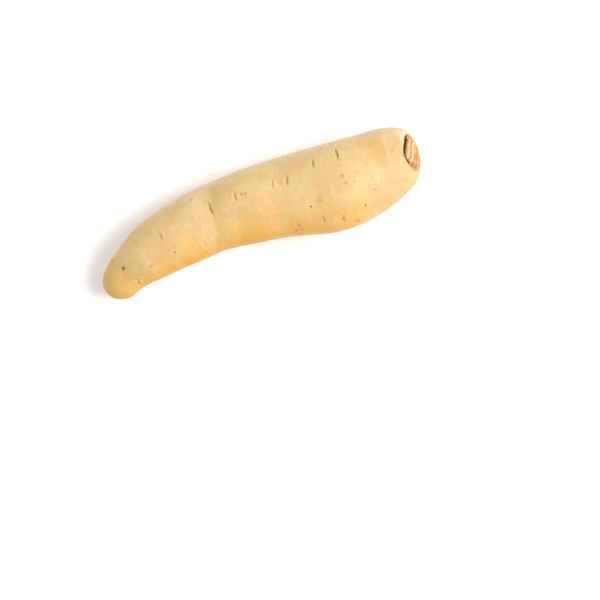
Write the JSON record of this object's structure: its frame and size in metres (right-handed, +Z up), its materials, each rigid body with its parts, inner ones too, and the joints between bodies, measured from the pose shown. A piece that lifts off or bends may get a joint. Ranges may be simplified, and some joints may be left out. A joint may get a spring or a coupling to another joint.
{
  "type": "arracacha root",
  "caption": "Washed arracacha root lying on its side, bowed and swollen towards the crown, with a blunt tip and a torn scar where it was broken off.",
  "frame": {"origin": "on the surface that the root lies on, under the middle of the root's box", "axes": "+X along the root from the blunt tip to the crown, +Y towards the side that the root bows out to, +Z up"},
  "size_m": [0.1704, 0.0484, 0.0416],
  "materials": {
    "skin": "satin"
  },
  "bodies": {
    "root": {"root": "skin"}
  },
  "joints": []
}
